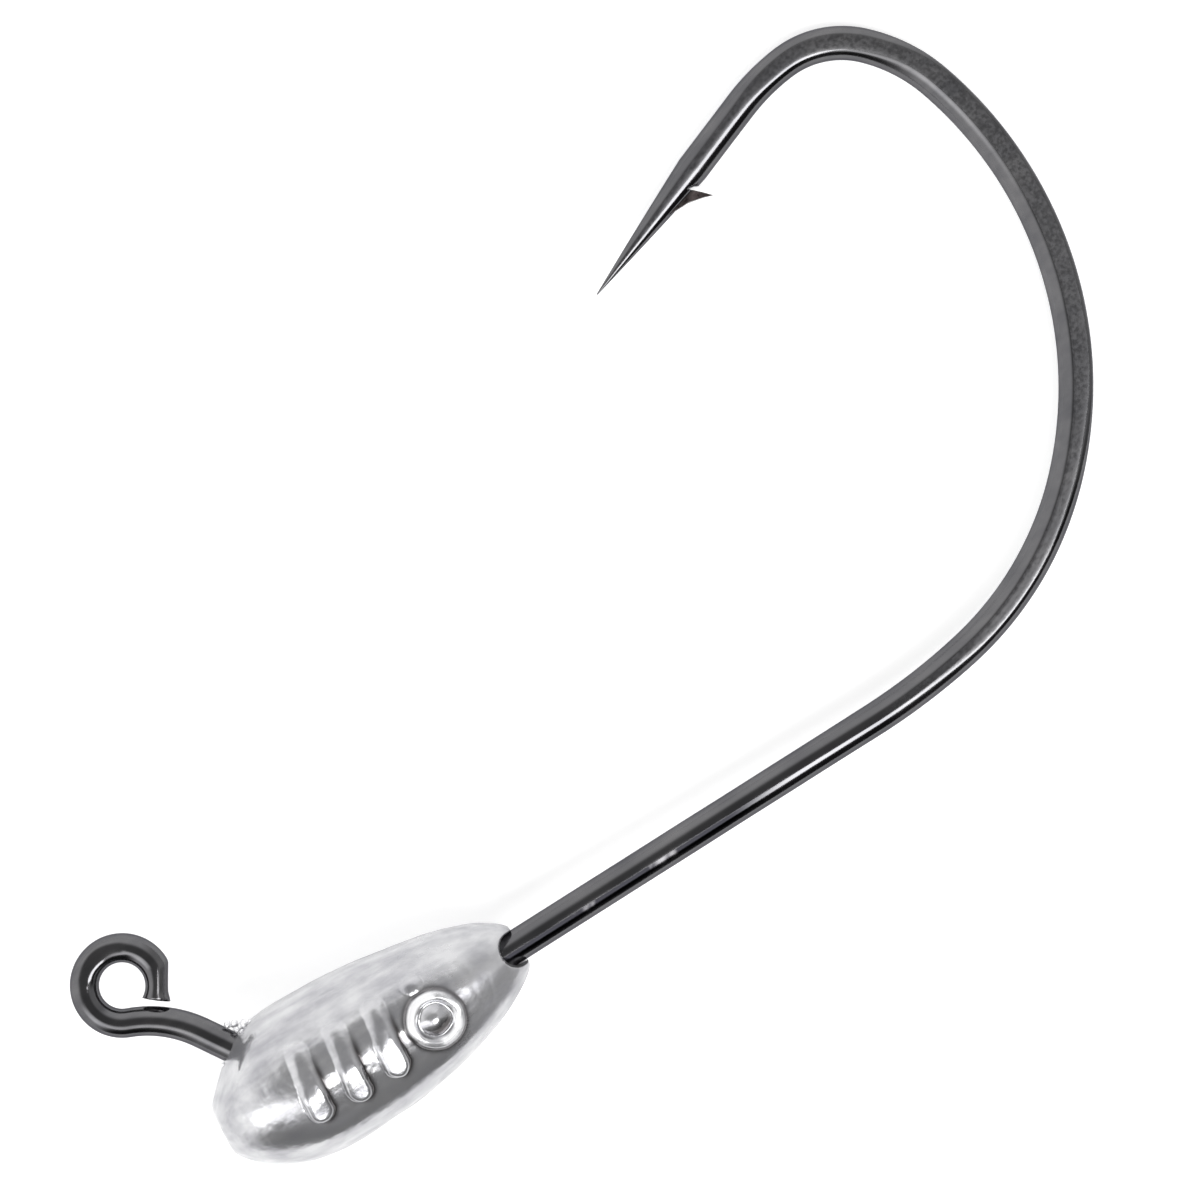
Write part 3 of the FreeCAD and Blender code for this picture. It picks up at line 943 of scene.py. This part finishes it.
def black_nickel():
    """Dark bright plating over steel: smooth on the round wire, finely grained on the forged faces, with
    painted shade along the shank beside the casting.
    """
    material, nodes, links, shader, coordinates = new_material("black_nickel")
    shader.inputs["Metallic"].default_value = 1.0
    shader.inputs["Specular Tint"].default_value = (*NICKEL_TINT, 1)
    place = coordinates.outputs["Object"]
    x = parts_of(nodes, links, place)["X"]
    faces = parts_of(nodes, links, coordinates.outputs["Normal"])
    grain = noise_node(nodes, links, place, *NICKEL_GRAIN)
    patches = noise_node(nodes, links, place, *NICKEL_PATCHES)
    drawn_out = stretched(nodes, links, place, NICKEL_STREAK_STRETCH)
    streaks = noise_node(nodes, links, drawn_out, *NICKEL_STREAKS)

    on_bend = soft_range(nodes, links, x, metres(FORGED_FROM))
    upright = math_node(nodes, links, "ABSOLUTE", faces["Z"])
    on_flat = soft_range(nodes, links, upright, FORGED_FACING)
    forged = math_node(nodes, links, "MULTIPLY", on_bend, on_flat)

    tone = between_tones(nodes, links, evenly(nodes, links, streaks, patches), NICKEL_TONES)
    # painted shade over the key light's reflection on the shank beside the casting
    shank_shaded = painted_shank_shade(nodes, links, x, faces["Y"], patches)
    links.new(turned_to(nodes, links, shank_shaded, tone, SHANK_SHADE_COLOUR), shader.inputs["Base Color"])

    roughness = nodes.new("ShaderNodeMix")
    links.new(forged, roughness.inputs["Factor"])
    links.new(soft_range(nodes, links, patches, NOISE_RANGE, NICKEL_ROUGHNESS), roughness.inputs["A"])
    links.new(soft_range(nodes, links, grain, NOISE_RANGE, FORGED_ROUGHNESS), roughness.inputs["B"])
    links.new(roughness.outputs["Result"], shader.inputs["Roughness"])

    strength = soft_range(nodes, links, forged, (0.0, 1.0), GRAIN_STRENGTH)
    bump = bump_node(nodes, links, grain, GRAIN_DEPTH, strength)
    links.new(bump.outputs["Normal"], shader.inputs["Normal"])
    return material


def cut_steel():
    """The barb: darker, a little brown and rougher than the wire."""
    material, nodes, links, shader, coordinates = new_material("cut_steel")
    shader.inputs["Metallic"].default_value = 1.0
    grain = noise_node(nodes, links, coordinates.outputs["Object"], *STEEL_GRAIN)
    links.new(soft_range(nodes, links, grain, NOISE_RANGE, STEEL_ROUGHNESS), shader.inputs["Roughness"])
    links.new(between_tones(nodes, links, grain, STEEL_TONES), shader.inputs["Base Color"])
    return material


def painted_ring_highlight(nodes, links, place, z, patches):
    """0 to 1 on the top of the ring, which is painted pale: a painted highlight."""
    centre = head_to_row(np.array([[RING_CENTRE[0], RING_CENTRE[1], 0.0]]))[0]
    level = vector_node(nodes, links, "MULTIPLY", place, (1, 1, 0))["Vector"]
    from_centre = vector_node(nodes, links, "DISTANCE", level, tuple(centre * MM))["Value"]
    from_middle = math_node(nodes, links, "SUBTRACT", from_centre, RING_MIDDLE_RADIUS * MM)
    off_ring = math_node(nodes, links, "ABSOLUTE", from_middle)
    on_ring = soft_range(nodes, links, off_ring, metres(RING_HIGHLIGHT_EDGE), (1.0, 0.0))
    on_top = soft_range(nodes, links, z, metres(RING_HIGHLIGHT_HEIGHT))
    patchy = soft_range(nodes, links, patches, RING_HIGHLIGHT_PATCHES, (RING_HIGHLIGHT_LEAST, 1.0))
    return chain(nodes, links, "MULTIPLY", on_ring, on_top, patchy)


def cast_lead():
    """Lead as it left the mould: bright, finely wrinkled and streaked, duller in patches, with painted shade
    beside the marks and a painted highlight on the ring's top.
    """
    material, nodes, links, shader, coordinates = new_material("cast_lead")
    shader.inputs["Specular IOR Level"].default_value = LEAD_SPECULAR
    place = coordinates.outputs["Object"]
    where = parts_of(nodes, links, place)
    patches = noise_node(nodes, links, place, *LEAD_PATCHES)
    drawn_out = stretched(nodes, links, place, LEAD_STREAK_STRETCH, HEAD_TILT)
    streaks = noise_node(nodes, links, drawn_out, *LEAD_STREAKS)
    pores = noise_node(nodes, links, place, *LEAD_PORES)
    wrinkles = noise_node(nodes, links, place, *LEAD_WRINKLES)
    mottle = evenly(nodes, links, streaks, patches)

    at_tail = soft_range(nodes, links, where["X"], metres(TAIL_DULL_OVER), (0.0, TAIL_DULLNESS))
    rough = soft_range(nodes, links, mottle, LEAD_MOTTLE_RANGE, LEAD_ROUGHNESS)
    links.new(math_node(nodes, links, "ADD", rough, at_tail), shader.inputs["Roughness"])

    # painted highlight on the ring's top
    ring_highlight = painted_ring_highlight(nodes, links, place, where["Z"], patches)
    metallic = soft_range(nodes, links, ring_highlight, (0.0, 1.0), (LEAD_METALLIC, RING_HIGHLIGHT_METALLIC))
    links.new(metallic, shader.inputs["Metallic"])

    # the painted shade in the creases beside the marks darkens the base colour
    crease_shade_attribute = nodes.new("ShaderNodeAttribute")
    crease_shade_attribute.attribute_name = "painted_crease_shade"
    darkened = math_node(nodes, links, "MULTIPLY", crease_shade_attribute.outputs["Fac"], CREASE_SHADE_STRENGTH)
    tone = between_tones(nodes, links, mottle, LEAD_TONES)
    tone = turned_to(nodes, links, ring_highlight, tone, RING_HIGHLIGHT_COLOUR)
    tone = turned_to(nodes, links, darkened, tone, CREASE_SHADE_COLOUR)
    links.new(tone, shader.inputs["Base Color"])

    fine = bump_node(nodes, links, pores, PORE_DEPTH, LEAD_BUMP_STRENGTH)
    creased = math_node(nodes, links, "ADD", wrinkles, streaks)
    coarse = bump_node(nodes, links, creased, WRINKLE_DEPTH, LEAD_BUMP_STRENGTH)
    links.new(fine.outputs["Normal"], coarse.inputs["Normal"])
    links.new(coarse.outputs["Normal"], shader.inputs["Normal"])
    return material


def lead_crumbs():
    """The crumbs of flash, frosted and paler than the casting."""
    material, nodes, links, shader, coordinates = new_material("lead_crumbs")
    shader.inputs["Metallic"].default_value = FLASH_METALLIC
    frost = noise_node(nodes, links, coordinates.outputs["Object"], *FLASH_FROST)
    links.new(soft_range(nodes, links, frost, NOISE_RANGE, FLASH_ROUGHNESS), shader.inputs["Roughness"])
    links.new(between_tones(nodes, links, frost, FLASH_TONES), shader.inputs["Base Color"])
    return material


def white_table():
    """The floor: plain matte white, which gives out a little light of its own."""
    material, nodes, links, shader, coordinates = new_material("white_table")
    clouds = noise_node(nodes, links, coordinates.outputs["Object"], *FLOOR_CLOUDS)
    cloudy = soft_range(nodes, links, clouds, NOISE_RANGE, FLOOR_CLOUDINESS)
    links.new(math_node(nodes, links, "MULTIPLY", cloudy, FLOOR_GLOW), shader.inputs["Emission Strength"])
    shader.inputs["Emission Color"].default_value = (1, 1, 1, 1)
    shader.inputs["Base Color"].default_value = (*FLOOR_COLOUR, 1)
    shader.inputs["Roughness"].default_value = 0.9
    shader.inputs["Specular IOR Level"].default_value = 0.0
    return material


# ---- the stage ------------------------------------------------------------------------


def make_floor(pieces, material):
    """A wide floor, tilted so that the hook rests on it at its head, bend and point."""
    slope = np.array([-FLOOR_SLOPE_X, -FLOOR_SLOPE_Y, 1.0])
    lowest = min(min(slope @ np.array(v.co) for v in piece.data.vertices) for piece in pieces)
    corners = []
    for x_side, y_side in ((-1, -1), (1, -1), (1, 1), (-1, 1)):
        x, y = x_side * FLOOR_HALF_SIZE, y_side * FLOOR_HALF_SIZE
        corners.append((x, y, lowest + FLOOR_SLOPE_X * x + FLOOR_SLOPE_Y * y))
    mesh = bpy.data.meshes.new("floor")
    mesh.from_pydata(corners, [], [(0, 1, 2, 3)])
    floor = bpy.data.objects.new("floor", mesh)
    bpy.context.scene.collection.objects.link(floor)
    floor.data.materials.append(material)


def direction(heading, from_above):
    """A unit vector to a place in the sky."""
    h, a = math.radians(heading), math.radians(from_above)
    return Vector((math.sin(a) * math.cos(h), math.sin(a) * math.sin(h), math.cos(a)))


def make_key_light():
    """A wide softbox."""
    towards = direction(KEY_HEADING, KEY_FROM_ABOVE)
    light = bpy.data.lights.new("key", "AREA")
    light.shape = "RECTANGLE"
    light.size = 2 * KEY_DISTANCE * math.tan(math.radians(KEY_HALF_WIDTH))
    light.size_y = 2 * KEY_DISTANCE * math.tan(math.radians(KEY_HALF_HEIGHT))
    light.energy = KEY_RADIANCE * math.pi * light.size * light.size_y
    lamp = bpy.data.objects.new("key", light)
    lamp.location = Vector((VIEW_CENTRE[0] * MM, VIEW_CENTRE[1] * MM, 0)) + towards * KEY_DISTANCE
    lamp.rotation_euler = towards.to_track_quat("Z", "Y").to_euler()
    bpy.context.scene.collection.objects.link(lamp)


def edge_cosines(angle, soft):
    """Cosines of the far and the near end of an edge that begins at an angle and fades over soft more."""
    return math.cos(math.radians(angle + soft)), math.cos(math.radians(angle))


def make_sky():
    """A studio: dim straight above, bright on the left, dimmer on the right and dark behind the key."""
    world = bpy.data.worlds.new("studio")
    bpy.context.scene.world = world
    world.use_nodes = True
    nodes, links = world.node_tree.nodes, world.node_tree.links
    place = nodes.new("ShaderNodeTexCoord").outputs["Generated"]
    height = parts_of(nodes, links, place)["Z"]
    level = vector_node(nodes, links, "MULTIPLY", place, (1, 1, 0))["Vector"]
    sideways = vector_node(nodes, links, "NORMALIZE", level)["Vector"]

    def facing(heading, edge):
        """1 within an angle of a heading, fading to 0 beyond it."""
        match = vector_node(nodes, links, "DOT_PRODUCT", sideways, direction(heading, 90))["Value"]
        return soft_range(nodes, links, match, edge_cosines(*edge))

    def lower_than(edge):
        """1 below an angle from straight up, and 0 above it."""
        return soft_range(nodes, links, height, edge_cosines(*edge), (1.0, 0.0))

    def higher_than(edge):
        """1 above an angle from straight up, and 0 below it."""
        return soft_range(nodes, links, height, edge_cosines(*edge))

    def times(*values):
        """All values multiplied together."""
        return chain(nodes, links, "MULTIPLY", *values)

    left = times(facing(LEFT_HEADING, LEFT_WIDE), lower_than(LEFT_BELOW))
    glow = times(facing(GLOW_HEADING, GLOW_WIDE), lower_than(GLOW_BELOW), higher_than(GLOW_ABOVE))
    black = times(facing(DARK_HEADING, DARK_WIDE), lower_than(DARK_BELOW))
    lit = chain(nodes, links, "ADD", OVERHEAD, times(left, LEFT_SKY - OVERHEAD),
                times(lower_than(RIGHT_BELOW), RIGHT_SKY - OVERHEAD), times(glow, GLOW))
    kept = math_node(nodes, links, "MULTIPLY_ADD", black, DARK - 1, 1.0)
    background = nodes["Background"]
    links.new(times(lit, kept), background.inputs["Strength"])
    background.inputs["Color"].default_value = (1.0, 1.0, 1.0, 1)


def make_camera():
    """A long lens straight above."""
    data = bpy.data.cameras.new("camera")
    data.lens = LENS
    data.sensor_width = SENSOR
    data.clip_start = MM
    camera = bpy.data.objects.new("camera", data)
    distance = VIEW_WIDTH * LENS / SENSOR
    camera.location = (VIEW_CENTRE[0] * MM, VIEW_CENTRE[1] * MM, distance * MM)
    camera.rotation_euler = (0, 0, -math.radians(VIEW_ROLL))
    bpy.context.scene.collection.objects.link(camera)
    bpy.context.scene.camera = camera


hook = make_hook()
head = make_head()
for piece, node, slot in ((hook, "hook", "hook_wire"), (head, "cast_head", "lead")):
    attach(piece, "root")
    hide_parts(node)
make_floor((hook, head), white_table())
make_key_light()
make_sky()
make_camera()
bpy.context.scene.view_settings.view_transform = "Standard"
bpy.context.scene.cycles.use_denoising = True
